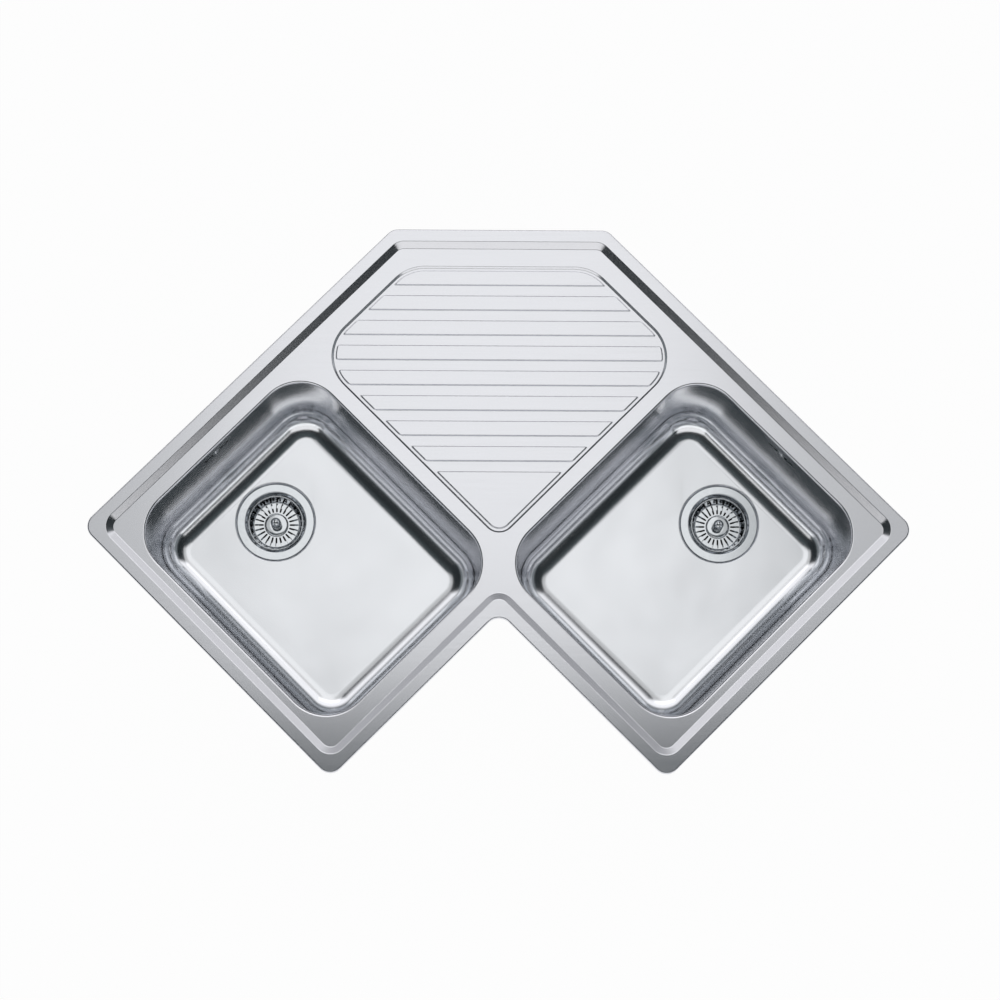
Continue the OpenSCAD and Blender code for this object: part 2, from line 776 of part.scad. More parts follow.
// Window behind the row of overflow holes
module window(from_y, depth) {
    w = overflow_face_w - 2 * overflow_land;
    h = overflow_face_h - 2 * overflow_land;
    translate([-w / 2, from_y - over, -h / 2]) cube([w, depth + 2 * over, h]);
}

// Plastic box behind the overflow holes with a spigot that points straight down
module overflow_elbow(side) color(grey_plastic) {
    y0 = sheet_t + overflow_gasket_t;
    w = overflow_face_w;
    h = overflow_face_h;
    in_w = w - 2 * overflow_land;
    in_h = h - 2 * overflow_wall;
    spigot_h = spigot_len + 2 * spigot_stop + overflow_wall;
    difference() {
        union() {
            at_overflow(side) difference() {
                translate([-w / 2, y0, -h / 2]) cube([w, overflow_plate_t + overflow_box_d, h]);
                translate([-in_w / 2, y0 + overflow_plate_t, -in_h / 2])
                    cube([in_w, overflow_box_d - overflow_wall, in_h]);
                window(y0, overflow_plate_t);
            }
            at_overflow(side) translate([0, y0, 0]) rotate([-90, 0, 0])
                cylinder(h = overflow_plate_t + overflow_box_d - over, r = overflow_boss_r);
            at_bowl(side) translate([0, hose_y, hose_top_z - spigot_len])
                cylinder(h = spigot_h, r = spigot_r);
        }
        at_bowl(side) translate([0, hose_y, hose_top_z - spigot_len - over])
            cylinder(h = spigot_h + 2 * over, r = spigot_bore_r);
        at_overflow(side) translate([0, y0 - over, 0]) rotate([-90, 0, 0])
            cylinder(h = overflow_box_d, r = overflow_screw_r + tap_gap);
    }
}

module overflow_screw(side) color(bright_steel)
    at_overflow(side) {
        translate([0, -overflow_head_h, 0]) rotate([-90, 0, 0])
            cylinder(h = overflow_head_h, r = overflow_head_r);
        rotate([-90, 0, 0]) cylinder(h = overflow_box_d - over, r = overflow_screw_r);
    }

// Hose route in the plane x = 0 of the bowl's frame: down, round a quarter bend and across to the waste
hose_down = hose_top_z - hose_low_z - hose_bend;
hose_arc = hose_bend * PI / 2;
hose_across = hose_y - hose_bend - hose_end_y;
hose_len = hose_down + hose_arc + hose_across;
// Angle that the hose has turned through at length s
function hose_turn(s) = 90 * min(max((s - hose_down) / hose_arc, 0), 1);
function hose_at(s) = s < hose_down ? [0, hose_y, hose_top_z - s]
    : s < hose_down + hose_arc ? [0, hose_y - hose_bend * (1 - cos(hose_turn(s))),
        hose_top_z - hose_down - hose_bend * sin(hose_turn(s))]
    : [0, hose_y - hose_bend - (s - hose_down - hose_arc), hose_low_z];
// Ring of points of radius r square to the hose at length s
function hose_ring(s, r) = [for (j = [0:hose_sides - 1])
    let(a = (j + 0.5) * 360 / hose_sides, t = hose_turn(s))
    hose_at(s) + r * [cos(a), sin(a) * cos(t), sin(a) * sin(t)]];
rib_count = floor((hose_len - 2 * cuff_len) / rib_pitch);
rib_from = (hose_len - rib_count * rib_pitch) / 2;
hose_low_r = hose_r - hose_rib_h;
// Outer rings as length and radius: a cuff, then a root and a crest for each rib, then a cuff
hose_outer = concat([[0, hose_low_r]],
    [for (i = [0:rib_count - 1]) for (k = [0, 1])
        [rib_from + (i + k / 2) * rib_pitch, k == 0 ? hose_low_r : hose_r]],
    [[hose_len - rib_from, hose_low_r], [hose_len, hose_low_r]]);
bend_steps = 14;
hose_inner = concat([0], [for (i = [0:bend_steps]) hose_down + i * hose_arc / bend_steps], [hose_len]);
hose_bore_r = hose_low_r - hose_wall;
rib_gap = rib_pitch * (hose_bend - hose_r) / hose_bend;
echo(hose_least_gap_between_ribs = rib_gap);

module overflow_hose(side) color("gray") {
    n = hose_sides;
    outer = len(hose_outer);
    inner = len(hose_inner);
    points = concat([for (o = hose_outer) each hose_ring(o[0], o[1])],
        [for (s = hose_inner) each hose_ring(s, hose_bore_r)]);
    base = outer * n;
    skin = [for (i = [0:outer - 2]) for (j = [0:n - 1]) let(k = (j + 1) % n)
        each [[i * n + j, (i + 1) * n + k, i * n + k], [i * n + j, (i + 1) * n + j, (i + 1) * n + k]]];
    bore = [for (i = [0:inner - 2]) for (j = [0:n - 1]) let(k = (j + 1) % n, a = base + i * n)
        each [[a + j, a + k, a + n + k], [a + j, a + n + k, a + n + j]]];
    last = (outer - 1) * n;
    last_in = base + (inner - 1) * n;
    ends = [for (j = [0:n - 1]) let(k = (j + 1) % n)
        each [[j, k, base + k], [j, base + k, base + j],
            [last + j, last_in + k, last + k], [last + j, last_in + j, last_in + k]]];
    at_bowl(side) polyhedron(points, concat(skin, bore, ends));
}

module hose_clips(side) color(zinc)
    at_bowl(side) {
        r_in = hose_low_r + seat_gap;
        translate([0, hose_y, hose_top_z - band_at]) flat_ring(r_in, r_in + band_t, band_w);
        translate([0, hose_end_y + band_at, hose_low_z]) rotate([90, 0, 0])
            flat_ring(r_in, r_in + band_t, band_w);
    }

sink_deck();
bowl(left);  // left_bowl
bowl(right);  // right_bowl
rim_seal();
clip_brackets();
fixing_clips();
clip_screws();
sound_pad(left);  // left_sound_pad
sound_pad(right);  // right_sound_pad
strainer_cup(left);  // left_strainer_cup
strainer_cup(right);  // right_strainer_cup
flange_gasket(left);  // left_flange_gasket
flange_gasket(right);  // right_flange_gasket
body_gasket(left);  // left_body_gasket
body_gasket(right);  // right_body_gasket
waste_body(left);  // left_waste_body
waste_body(right);  // right_waste_body
clamp_screw(left);  // left_clamp_screw
clamp_screw(right);  // right_clamp_screw
clamp_nut(left);  // left_clamp_nut
clamp_nut(right);  // right_clamp_nut
overflow_gasket(left);  // left_overflow_gasket
overflow_gasket(right);  // right_overflow_gasket
overflow_elbow(left);  // left_overflow_elbow
overflow_elbow(right);  // right_overflow_elbow
overflow_screw(left);  // left_overflow_screw
overflow_screw(right);  // right_overflow_screw
overflow_hose(left);  // left_overflow_hose
overflow_hose(right);  // right_overflow_hose
hose_clips(left);  // left_hose_clips
hose_clips(right);  // right_hose_clips
basket(left);  // left_basket
basket(right);  // right_basket
basket_post(left);  // left_basket_post
basket_post(right);  // right_basket_post
basket_seal(left);  // left_basket_seal
basket_seal(right);  // right_basket_seal
lift_knob(left);  // left_lift_knob
lift_knob(right);  // right_lift_knob
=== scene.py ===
from math import acos, cos, pi, radians, sin, sqrt, tan

import bpy
import numpy as np
from mathutils import Matrix, Vector
from mathutils.geometry import delaunay_2d_cdt


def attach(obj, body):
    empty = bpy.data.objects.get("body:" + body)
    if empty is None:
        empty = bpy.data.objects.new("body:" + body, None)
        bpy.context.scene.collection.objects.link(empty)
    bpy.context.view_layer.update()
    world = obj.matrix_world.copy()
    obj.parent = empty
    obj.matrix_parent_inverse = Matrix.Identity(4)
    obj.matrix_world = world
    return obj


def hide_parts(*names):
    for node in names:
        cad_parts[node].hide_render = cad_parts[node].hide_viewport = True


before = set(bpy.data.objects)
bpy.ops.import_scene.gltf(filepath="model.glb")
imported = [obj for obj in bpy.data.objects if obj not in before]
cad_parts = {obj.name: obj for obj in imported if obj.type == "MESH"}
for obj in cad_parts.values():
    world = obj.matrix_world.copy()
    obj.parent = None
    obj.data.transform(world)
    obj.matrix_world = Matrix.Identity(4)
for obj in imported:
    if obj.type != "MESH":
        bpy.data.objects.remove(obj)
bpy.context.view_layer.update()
print("frame loaded:", len(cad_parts), "nodes")

# Sizes below are millimetres, in the frame of the CAD: +Y at the wall corner, Z = 0 on the worktop.
cornerY = 547.3006486          # the wall corner lies this far behind the middle
sheet = 1.0
deckZ = 1.5
floorZ = -178.5
lean = radians(3.5)            # lean of the bowls' walls


# Lines and profiles

def fromWalls(points):
    # walls' frame to the sink's frame: a turn by 45 degrees about the wall corner
    p = np.asarray(points, float)
    return np.stack([(p[:, 0] + p[:, 1]) / sqrt(2), cornerY + (p[:, 1] - p[:, 0]) / sqrt(2)], 1)


def roundedLine(corners, radii, steps=12):
    # Closed line with rounded corners, as a start point and an inward direction for every point, so that
    # the line drawn in by d is start + d * inward. An arc's point is its middle less radius times the
    # inward direction, which turns evenly from one side's to the next one's.
    p = np.asarray(corners, float)
    side = np.roll(p, -1, 0) - p
    side /= np.linalg.norm(side, axis=1)[:, None]
    before = np.roll(side, 1, 0)
    turn = np.arctan2(before[:, 0] * side[:, 1] - before[:, 1] * side[:, 0], (before * side).sum(1))
    radius = np.asarray(radii, float) * np.sign(turn)
    middle = p + (np.stack([-before[:, 1] - side[:, 1], before[:, 0] + side[:, 0]], 1)
                  * (radius / (1 + (before * side).sum(1)))[:, None])
    angle = (np.arctan2(before[:, 1], before[:, 0]) + pi / 2)[:, None] + turn[:, None] * np.linspace(0, 1, steps)
    inward = np.stack([np.cos(angle), np.sin(angle)], -1)
    start = middle[:, None, :] - radius[:, None, None] * inward
    return start.reshape(-1, 2), inward.reshape(-1, 2)


def circleLine(x, y, count):
    # a circle as such a line, with its middle as the start: drawing in by -r gives the radius r
    angle = np.linspace(0, 2 * pi, count, endpoint=False)
    inward = -np.stack([np.cos(angle), np.sin(angle)], 1)
    return np.tile([x, y], (count, 1)).astype(float), inward


def softProfile(points, radii, steps=5, guard=0.25):
    # Section line whose inner corners are arcs, with a point just before and after each arc, so that
    # the flats beside a bend shade flat
    p = np.asarray(points, float)
    out = [p[:1]]
    for i, r in enumerate(radii, 1):
        a, b = p[i - 1] - p[i], p[i + 1] - p[i]
        a /= np.linalg.norm(a)
        b /= np.linalg.norm(b)
        half = acos(np.clip(a @ b, -1, 1)) / 2
        middle = p[i] + (a + b) / np.linalg.norm(a + b) * r / sin(half)
        first, last = p[i] + a * r / tan(half), p[i] + b * r / tan(half)
        t = np.linspace(0, 1, steps)[:, None]
        span = pi - 2 * half
        arc = middle + ((first - middle) * np.sin((1 - t) * span) + (last - middle) * np.sin(t * span)) / sin(span)
        out += [first[None] + a * guard, arc, last[None] + b * guard]
    return np.concatenate(out + [p[-1:]])


# Meshes

def gridFaces(rows, columns):
    # quads of a grid whose rows run along a closed line and whose columns run along the section
    a, b = np.meshgrid(np.arange(rows), np.arange(columns - 1), indexing="ij")
    n = (a + 1) % rows
    return np.stack([a * columns + b, n * columns + b, n * columns + b + 1, a * columns + b + 1], -1).reshape(-1, 4)


def carry(line, profile):
    # The section carried along the line: point = start + d * inward, at the section's own height
    start, inward = line
    d, z = profile[:, 0], profile[:, 1]
    flat = start[:, None, :] + d[None, :, None] * inward[:, None, :]
    verts = np.concatenate([flat, np.broadcast_to(z[None, :, None], flat.shape[:2] + (1,))], -1)
    return verts.reshape(-1, 3), gridFaces(len(start), len(profile))


def drawnIn(line, d):
    return line[0] + d * line[1]


def insideLoop(points, loop):
    # even-odd rule for many points at once
    x, y = points[:, :1], points[:, 1:]
    a, b = loop, np.roll(loop, -1, 0)
    spans = (a[:, 1] > y) != (b[:, 1] > y)
    rise = np.where(b[:, 1] == a[:, 1], 1, b[:, 1] - a[:, 1])
    crossing = a[:, 0] + (y - a[:, 1]) / rise * (b[:, 0] - a[:, 0])
    return ((spans & (x < crossing)).sum(1) % 2) == 1


def flatBetween(outer, holes=()):
    # triangles inside one closed line and outside the others
    loops = [np.asarray(outer, float)] + [np.asarray(h, float) for h in holes]
    points = np.concatenate(loops)
    ends = np.cumsum([0] + [len(q) for q in loops])
    edges = np.concatenate([np.stack([a + np.arange(b - a), a + (np.arange(b - a) + 1) % (b - a)], 1)
                            for a, b in zip(ends[:-1], ends[1:])])
    found = delaunay_2d_cdt([Vector(q) for q in points], edges.tolist(), [], 1, 1e-6)
    verts = np.array([points[i[0]] if i else v[:] for v, i in zip(found[0], found[3])])
    faces = np.array([f[:] for f in found[2]])
    middle = verts[faces].mean(1)
    keep = insideLoop(middle, loops[0])
    for hole in loops[1:]:
        keep &= ~insideLoop(middle, hole)
    faces = faces[keep]
    a, b, c = (verts[faces[:, k]] for k in range(3))
    down = (b[:, 0] - a[:, 0]) * (c[:, 1] - a[:, 1]) - (b[:, 1] - a[:, 1]) * (c[:, 0] - a[:, 0]) < 0
    faces[down] = faces[down][:, ::-1]
    return verts, faces


def atHeight(part, z):
    return np.column_stack([part[0], np.full(len(part[0]), z)]), part[1]


def flipped(part):
    return part[0] * [-1, 1, 1], part[1][:, ::-1]


def mirrored(parts):
    return [flipped(part) for part in parts]


def makePiece(name, parts, material, body, nodes=(), thick=0, sharp=35, even=True, under=None):
    # one object of several vertex and face arrays, welded, given its wall, and sharp past an angle; under is
    # the finish of the wall's other side
    mesh = bpy.data.meshes.new(name)
    verts, faces, base = [], [], 0
    for v, f in parts:
        verts.append(v)
        faces += (f + base).tolist()
        base += len(v)
    mesh.from_pydata((np.concatenate(verts) / 1000).tolist(), [], faces)
    for finish in filter(None, (material, under)):
        mesh.materials.append(finish)
    piece = bpy.data.objects.new(name, mesh)
    bpy.context.scene.collection.objects.link(piece)
    weld = piece.modifiers.new("weld", "WELD")
    weld.merge_threshold = 2e-6
    if thick:
        wall = piece.modifiers.new("wall", "SOLIDIFY")
        wall.thickness, wall.offset, wall.use_even_offset = thick / 1000, -1, even
        wall.material_offset = int(under is not None)
    settled = bpy.data.meshes.new_from_object(piece.evaluated_get(bpy.context.evaluated_depsgraph_get()))
    piece.modifiers.clear()
    piece.data = settled
    bpy.data.meshes.remove(mesh)
    settled.name = name
    settled.polygons.foreach_set("use_smooth", np.ones(len(settled.polygons), bool))
    settled.set_sharp_from_angle(angle=radians(sharp))
    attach(piece, body)
    if nodes:
        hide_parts(*nodes)


# Materials

def linear(code):
    parts = [int(code[i:i + 2], 16) / 255 for i in (1, 3, 5)]
    return tuple(c / 12.92 if c <= 0.04045 else ((c + 0.055) / 1.055) ** 2.4 for c in parts) + (1.0,)


def addNode(tree, kind, settings=None, links=None):
    node = tree.nodes.new(kind)
    for key, value in (settings or {}).items():
        if isinstance(key, str) and hasattr(node, key):
            setattr(node, key, value)
        else:
            node.inputs[key].default_value = value
    for key, source in (links or {}).items():
        tree.links.new(source, node.inputs[key])
    return node


def newFinish(name, **sockets):
    # a material with its shader, and Object coordinates to hang patterns on
    finish = bpy.data.materials.new(name)
    finish.use_nodes = True
    tree = finish.node_tree
    shader = tree.nodes["Principled BSDF"]
    for key, value in sockets.items():
        shader.inputs[key.replace("_", " ")].default_value = value
    coords = addNode(tree, "ShaderNodeTexCoord").outputs["Object"]
    return finish, tree, shader, coords


def noisePattern(tree, coords, scale, size, detail=2.0, rough=0.5):
    # noise on coordinates stretched by scale; size is the pattern's coarsest grain in millimetres
    spread = addNode(tree, "ShaderNodeMapping", {"Scale": scale}, {"Vector": coords})
    noise = addNode(tree, "ShaderNodeTexNoise", {"Scale": 1000 / size, "Detail": detail, "Roughness": rough},
                    {"Vector": spread.outputs[0]})
    return noise.outputs[0]


def between(tree, value, low, high):
    return addNode(tree, "ShaderNodeMapRange", {"From Min": 0.25, "From Max": 0.75, "To Min": low, "To Max": high},
                   {"Value": value}).outputs[0]


# Satin stainless steel, pressed and belt polished: an even pale sheen with the finest of grain lines.
# The real grit lines are about 0.05 mm apart; they are drawn 1.5 mm apart so that they show at all.
deckFinish = {"colour": "#E6E6EA", "smooth": 0.16, "rough": 0.19, "grainSize": 1.5}
deckSteel, tree, shader, coords = newFinish("satin stainless steel sheet", Metallic=1.0)
shader.inputs["Base Color"].default_value = linear(deckFinish["colour"])
grain = noisePattern(tree, coords, (0.02, 1, 1), deckFinish["grainSize"])
tree.links.new(between(tree, grain, deckFinish["smooth"], deckFinish["rough"]), shader.inputs["Roughness"])

# Deep drawn stainless steel bowl: drawing lines run round the walls at one height, so reflections streak
# along them, and the flat floor shows broad soft clouds. Lines 3 mm apart, clouds 90 mm.
bowlFinish = {"colour": "#EAEBEE", "smooth": 0.13, "rough": 0.19, "lineSize": 3, "cloudSize": 90,
              "lineDepth": 0.03, "cloudDepth": 0.5}
bowlSteel, tree, shader, coords = newFinish("deep drawn stainless steel", Metallic=1.0)
shader.inputs["Base Color"].default_value = linear(bowlFinish["colour"])
lines = noisePattern(tree, coords, (0.012, 0.012, 1), bowlFinish["lineSize"], 3)
clouds = noisePattern(tree, coords, (1, 1, 1), bowlFinish["cloudSize"], 1)
tree.links.new(between(tree, lines, bowlFinish["smooth"], bowlFinish["rough"]), shader.inputs["Roughness"])
cloudBump = addNode(tree, "ShaderNodeBump", {"Strength": 1.0, "Distance": bowlFinish["cloudDepth"] / 1000},
                    {"Height": clouds})
lineBump = addNode(tree, "ShaderNodeBump", {"Strength": 1.0, "Distance": bowlFinish["lineDepth"] / 1000},
                   {"Height": lines, "Normal": cloudBump.outputs[0]})
tree.links.new(lineBump.outputs[0], shader.inputs["Normal"])

# The same sheet on its unseen side, as it comes from the press and the pickling bath: matt and greyer,
# with a cloudy sheen. Clouds 30 mm.
pickled, tree, shader, coords = newFinish("pickled stainless steel", Metallic=1.0)
shader.inputs["Base Color"].default_value = linear("#A9ABAE")
clouds = noisePattern(tree, coords, (1, 1, 1), 30, 3)
tree.links.new(between(tree, clouds, 0.4, 0.52), shader.inputs["Roughness"])

# Polished stainless steel, turned: a clear bright reflection with faint rings
polished, tree, shader, coords = newFinish("polished stainless steel", Metallic=1.0)
shader.inputs["Base Color"].default_value = linear("#D9DCDF")
tree.links.new(between(tree, noisePattern(tree, coords, (1, 1, 1), 6, 2), 0.06, 0.12), shader.inputs["Roughness"])

# Zinc plated mild steel: slightly blue, cloudy, duller than stainless
zinc, tree, shader, coords = newFinish("zinc plated steel", Metallic=1.0)
shader.inputs["Base Color"].default_value = linear("#B4B9BE")
clouds = noisePattern(tree, coords, (1, 1, 1), 9, 4, 0.6)
tree.links.new(between(tree, clouds, 0.28, 0.48), shader.inputs["Roughness"])

# Turned brass
brass, tree, shader, coords = newFinish("turned brass", Metallic=1.0)
shader.inputs["Base Color"].default_value = linear("#D9B871")
tree.links.new(between(tree, noisePattern(tree, coords, (1, 1, 6), 3), 0.2, 0.34), shader.inputs["Roughness"])


def moulded(name, colour, smooth, rough, size, depth):
    # a moulded or cast finish: fine even grain in roughness and height
    finish, tree, shader, coords = newFinish(name)
    shader.inputs["Base Color"].default_value = linear(colour)
    grain = noisePattern(tree, coords, (1, 1, 1), size, 3, 0.6)
    tree.links.new(between(tree, grain, smooth, rough), shader.inputs["Roughness"])
    bump = addNode(tree, "ShaderNodeBump", {"Strength": 0.6, "Distance": depth / 1000}, {"Height": grain})
    tree.links.new(bump.outputs[0], shader.inputs["Normal"])
    return finish


rubber = moulded("nitrile rubber", "#1B1C1E", 0.45, 0.65, 1.2, 0.05)             # dull black, slightly soft edges
foam = moulded("closed cell foam", "#232426", 0.75, 0.95, 1.0, 0.2)             # open pores at the cut
bitumen = moulded("bitumen sound pad", "#33363A", 0.55, 0.85, 2.5, 0.25)        # cast, faintly pebbled
greyPlastic = moulded("moulded polypropylene", "#A4A7AA", 0.3, 0.5, 1.5, 0.04)  # fine spark grain
hosePlastic = moulded("blown polypropylene hose", "#A9ACAF", 0.28, 0.42, 4, 0.05)
print("finishes made")


# Deck

deck = {"rimRadius": 20, "rimTop": 7, "rimRoll": 2.2, "edgeLow": 0.5, "slopeFrom": 17.5, "slopeTo": 27.5,
        "slopeCentre": 41.5, "notchCentre": -2.5, "bend": 1.6}
plan = fromWalls([[218, 0], [0, -218], [0, -830], [500, -830], [500, -500], [830, -500], [830, 0]])
rimLine = roundedLine(plan, [deck["rimRadius"]] * 7)
# at the notch the slope's radius grows inwards, so its line starts from a negative one
slopeLine = roundedLine(plan, [deck["slopeCentre"]] * 4 + [deck["notchCentre"]] + [deck["slopeCentre"]] * 2)

rimProfile = softProfile([[0, deck["edgeLow"]], [0, deck["rimTop"]], [9, deck["rimTop"]]], [deck["rimRoll"]], 6)
slopeProfile = softProfile([[deck["slopeFrom"] - 1.5, deck["rimTop"]], [deck["slopeFrom"], deck["rimTop"]],
                            [deck["slopeTo"], deckZ], [deck["slopeTo"] + 1.5, deckZ]], [deck["bend"]] * 2)
outerEdge = carry(rimLine, rimProfile)
slope = carry(slopeLine, slopeProfile)
rimFrom, rimTo = drawnIn(rimLine, rimProfile[-1, 0]), drawnIn(slopeLine, slopeProfile[0, 0])
rimTop = (np.column_stack([np.stack([rimFrom, rimTo], 1).reshape(-1, 2),
                           np.full(2 * len(rimFrom), deck["rimTop"])]), gridFaces(len(rimFrom), 2))

bowlSize = {"across": 340, "along": 400, "radius": 62, "lip": 3.5, "weld": 12, "depth": 180, "floorRadius": 38,
            "steps": 16, "u": 619.5, "v": -250}
w, l = bowlSize["across"] / 2, bowlSize["along"] / 2
mouthCorners = np.array([[w, -l], [w, l], [-w, l], [-w, -l]]) + [bowlSize["u"], bowlSize["v"]]
mouthLine = roundedLine(fromWalls(mouthCorners), [bowlSize["radius"]] * 4, bowlSize["steps"])
run = tan(lean)
weldZ = deckZ - bowlSize["weld"]
lipProfile = softProfile([[-3.8, deckZ], [0, deckZ], [bowlSize["weld"] * run, weldZ]], [bowlSize["lip"]], 8)
lip = carry(mouthLine, lipProfile)

drainer = {"radii": [61, 61, 61, 24, 61], "depth": 2, "edge": 3, "bend": 1.2, "barInset": 6, "barHigh": 1.8,
           "barEdge": 1.6, "barPitch": 36.5, "barWide": 22.3, "bars": 8, "barCorner": 3.0, "barTop": 334.1516}
drainerCorners = fromWalls([[239.953, -53], [53, -239.953], [53, -426.5], [426.5, -426.5], [426.5, -53]])
drainerLine = roundedLine(drainerCorners, drainer["radii"], 24)
drainZ = deckZ - drainer["depth"]
edgeProfile = softProfile([[-1.2, deckZ], [0, deckZ], [drainer["edge"], drainZ], [drainer["edge"] + 1.2, drainZ]],
                          [drainer["bend"]] * 2)
drainerEdge = carry(drainerLine, edgeProfile)


def halfWidth(y, inset):
    # distance from the middle to the drainer's outline, drawn in by inset, at every height y of the plan
    p = drawnIn(drainerLine, inset)
    p = p[p[:, 0] > 0]
    order = np.argsort(p[:, 1])
    return np.interp(y, p[order, 1], p[order, 0], left=0.0)


def barLoop(i, e, count=40):
    # Bar i drawn in by e. Its side at height y is the drainer's own outline drawn in, less a corner
    # round r - sqrt(r^2 - k^2), where k is how far y lies in the corner.
    high = drainer["barTop"] - i * drainer["barPitch"] - e
    pointed = i == drainer["bars"]
    inset = drainer["barInset"] + e
    tip = drawnIn(drainerLine, inset)[:, 1].min()
    low = tip if pointed else high + 2 * e - drainer["barWide"]
    y = high + (low - high) * (1 - np.cos(np.linspace(0, pi, count))) / 2
    r = max(drainer["barCorner"] - e, 0.4)
    k = np.clip(y - (high - r), 0, r)
    if not pointed:
        k = np.maximum(k, np.clip(low + r - y, 0, r))
    x = np.maximum(halfWidth(y, inset) - r + np.sqrt(r * r - k * k), 0)
    return np.concatenate([np.stack([x, y], 1)[::-1], np.stack([-x, y], 1)])


# a bar's side in section: flat, an S-shaped step worked out as (1 - cos) / 2, flat
t = np.linspace(0, 1, 9)
barSteps = np.concatenate([[-0.3], t * drainer["barEdge"], [drainer["barEdge"] + 0.3]])
barHeights = drainZ + drainer["barHigh"] * np.concatenate([[0], (1 - np.cos(pi * t)) / 2, [1]])
barParts, barHoles = [], []
for i in range(drainer["bars"] + 1):
    loops = np.stack([barLoop(i, e) for e in barSteps], 1)
    rows, columns = loops.shape[:2]
    verts = np.concatenate([loops, np.broadcast_to(barHeights[None, :, None], (rows, columns, 1))], -1)
    barParts += [(verts.reshape(-1, 3), gridFaces(rows, columns)),
                 atHeight(flatBetween(loops[:, -1]), drainZ + drainer["barHigh"])]
    barHoles.append(loops[:, 0])

drainerFloor = atHeight(flatBetween(drawnIn(drainerLine, edgeProfile[-1, 0]), barHoles), drainZ)
mouthHole = drawnIn(mouthLine, lipProfile[0, 0])
deckFlat = atHeight(flatBetween(drawnIn(slopeLine, slopeProfile[-1, 0]),
                                [mouthHole, mouthHole * [-1, 1], drawnIn(drainerLine, edgeProfile[0, 0])]), deckZ)
makePiece("deck_sheet", [outerEdge, rimTop, slope, deckFlat, lip, flipped(lip), drainerEdge, drainerFloor] + barParts,
          deckSteel, "sink", ["sink_deck"], thick=sheet, under=pickled)
print("deck made")

# the right side is drawn, and the left one is its mirror image
sides = (("right", list), ("left", mirrored))


# Bowls

waste = {"x": 326.6833, "y": -2.1213, "recess": 59, "ledge": 4, "ledgeSlope": 3, "hole": 45, "fall": 0.02}
overflow = {"drop": 24, "hole": 6.3, "pitch": 9.8, "count": 5, "corner": 0.7, "above": 8, "below": 8}
holeZ = deckZ - overflow["drop"]
patchTop, patchLow = holeZ + overflow["above"], holeZ - overflow["below"]
bowlProfile = softProfile([[(deckZ - weldZ) * run, weldZ], [bowlSize["depth"] * run, floorZ],
                           [bowlSize["depth"] * run + 40, floorZ]], [bowlSize["floorRadius"]], 22, 1.0)
patchRows = np.array([[(deckZ - z) * run, z] for z in (patchTop, patchLow)])
bowlProfile = np.concatenate([bowlProfile[:1], patchRows, bowlProfile[1:-1]])
wallVerts, wallFaces = carry(mouthLine, bowlProfile)
# the back wall's flat between two corners is one column of quads; the holes go into its upper part
columns = len(bowlProfile)
cut = (2 * bowlSize["steps"] - 1) * (columns - 1) + 1
wallFaces = np.delete(wallFaces, cut, axis=0)


def onBackWall(part):
    # from (along the wall, height) to the leaning back wall of the right bowl
    u, z = part[0][:, 0], part[0][:, 1]
    p = fromWalls(np.stack([bowlSize["u"] + u, bowlSize["v"] + l - (deckZ - z) * run], 1))
    return np.column_stack([p, z]), part[1]


straight = w - bowlSize["radius"]
halfHole = overflow["hole"] / 2
squares = [drawnIn(roundedLine(np.array([[-1, -1], [1, -1], [1, 1], [-1, 1]]) * halfHole
                               + [(i - (overflow["count"] - 1) / 2) * overflow["pitch"], holeZ],
                               [overflow["corner"]] * 4, 4), 0)
           for i in range(overflow["count"])]
patch = onBackWall(flatBetween([[-straight, patchLow], [straight, patchLow], [straight, patchTop],
                                [-straight, patchTop]], squares))
recessLine = circleLine(waste["x"], waste["y"], 96)
recessProfile = softProfile([[-waste["recess"] - 1.5, floorZ], [-waste["recess"], floorZ],
                             [-waste["recess"] + waste["ledgeSlope"], floorZ - waste["ledge"]],
                             [-waste["hole"], floorZ - waste["ledge"]]], [1.5, 1.2])
recess = carry(recessLine, recessProfile)
floorFlat = atHeight(flatBetween(drawnIn(mouthLine, bowlProfile[-1, 0]),
                                 [drawnIn(recessLine, recessProfile[0, 0])]), floorZ)


def withFall(part):
    # The floor falls to the waste: height + fall * (distance from the recess's edge), which fades out
    # up the floor radius
    x, y, z = part[0].T
    away = np.clip(np.hypot(x - waste["x"], y - waste["y"]) - waste["recess"] - 2, 0, None)
    share = np.clip((floorZ + bowlSize["floorRadius"] - z) / bowlSize["floorRadius"], 0, 1)
    return np.column_stack([x, y, z + waste["fall"] * away * share]), part[1]


bowlParts = [withFall((wallVerts, wallFaces)), patch, withFall(floorFlat), recess]
for side, turn in sides:
    makePiece(side + "_bowl_sheet", turn(bowlParts), bowlSteel, "sink", [side + "_bowl"],
              thick=sheet, under=pickled)
print("bowls made")


# Wastes

cup = {"flange": 56.45, "flangeTop": -1.8, "flangeThick": 1.2, "mouth": 42, "slope": 3, "slopeDeep": 4,
       "foot": 38, "base": -35, "wall": 1, "drains": 6, "drainAt": 15.5, "drainRadius": 4.6,
       "screwRadius": 3.3}


def lathe(x, y, profile, count=96):
    # section (radius, height) turned about the upright axis through x, y
    line = circleLine(x, y, count)
    return carry(line, np.column_stack([-profile[:, 0], profile[:, 1]]))


def disc(x, y, z, radius, holes=(), count=96):
    ring = drawnIn(circleLine(x, y, count), -radius)
    return atHeight(flatBetween(ring, holes), z)


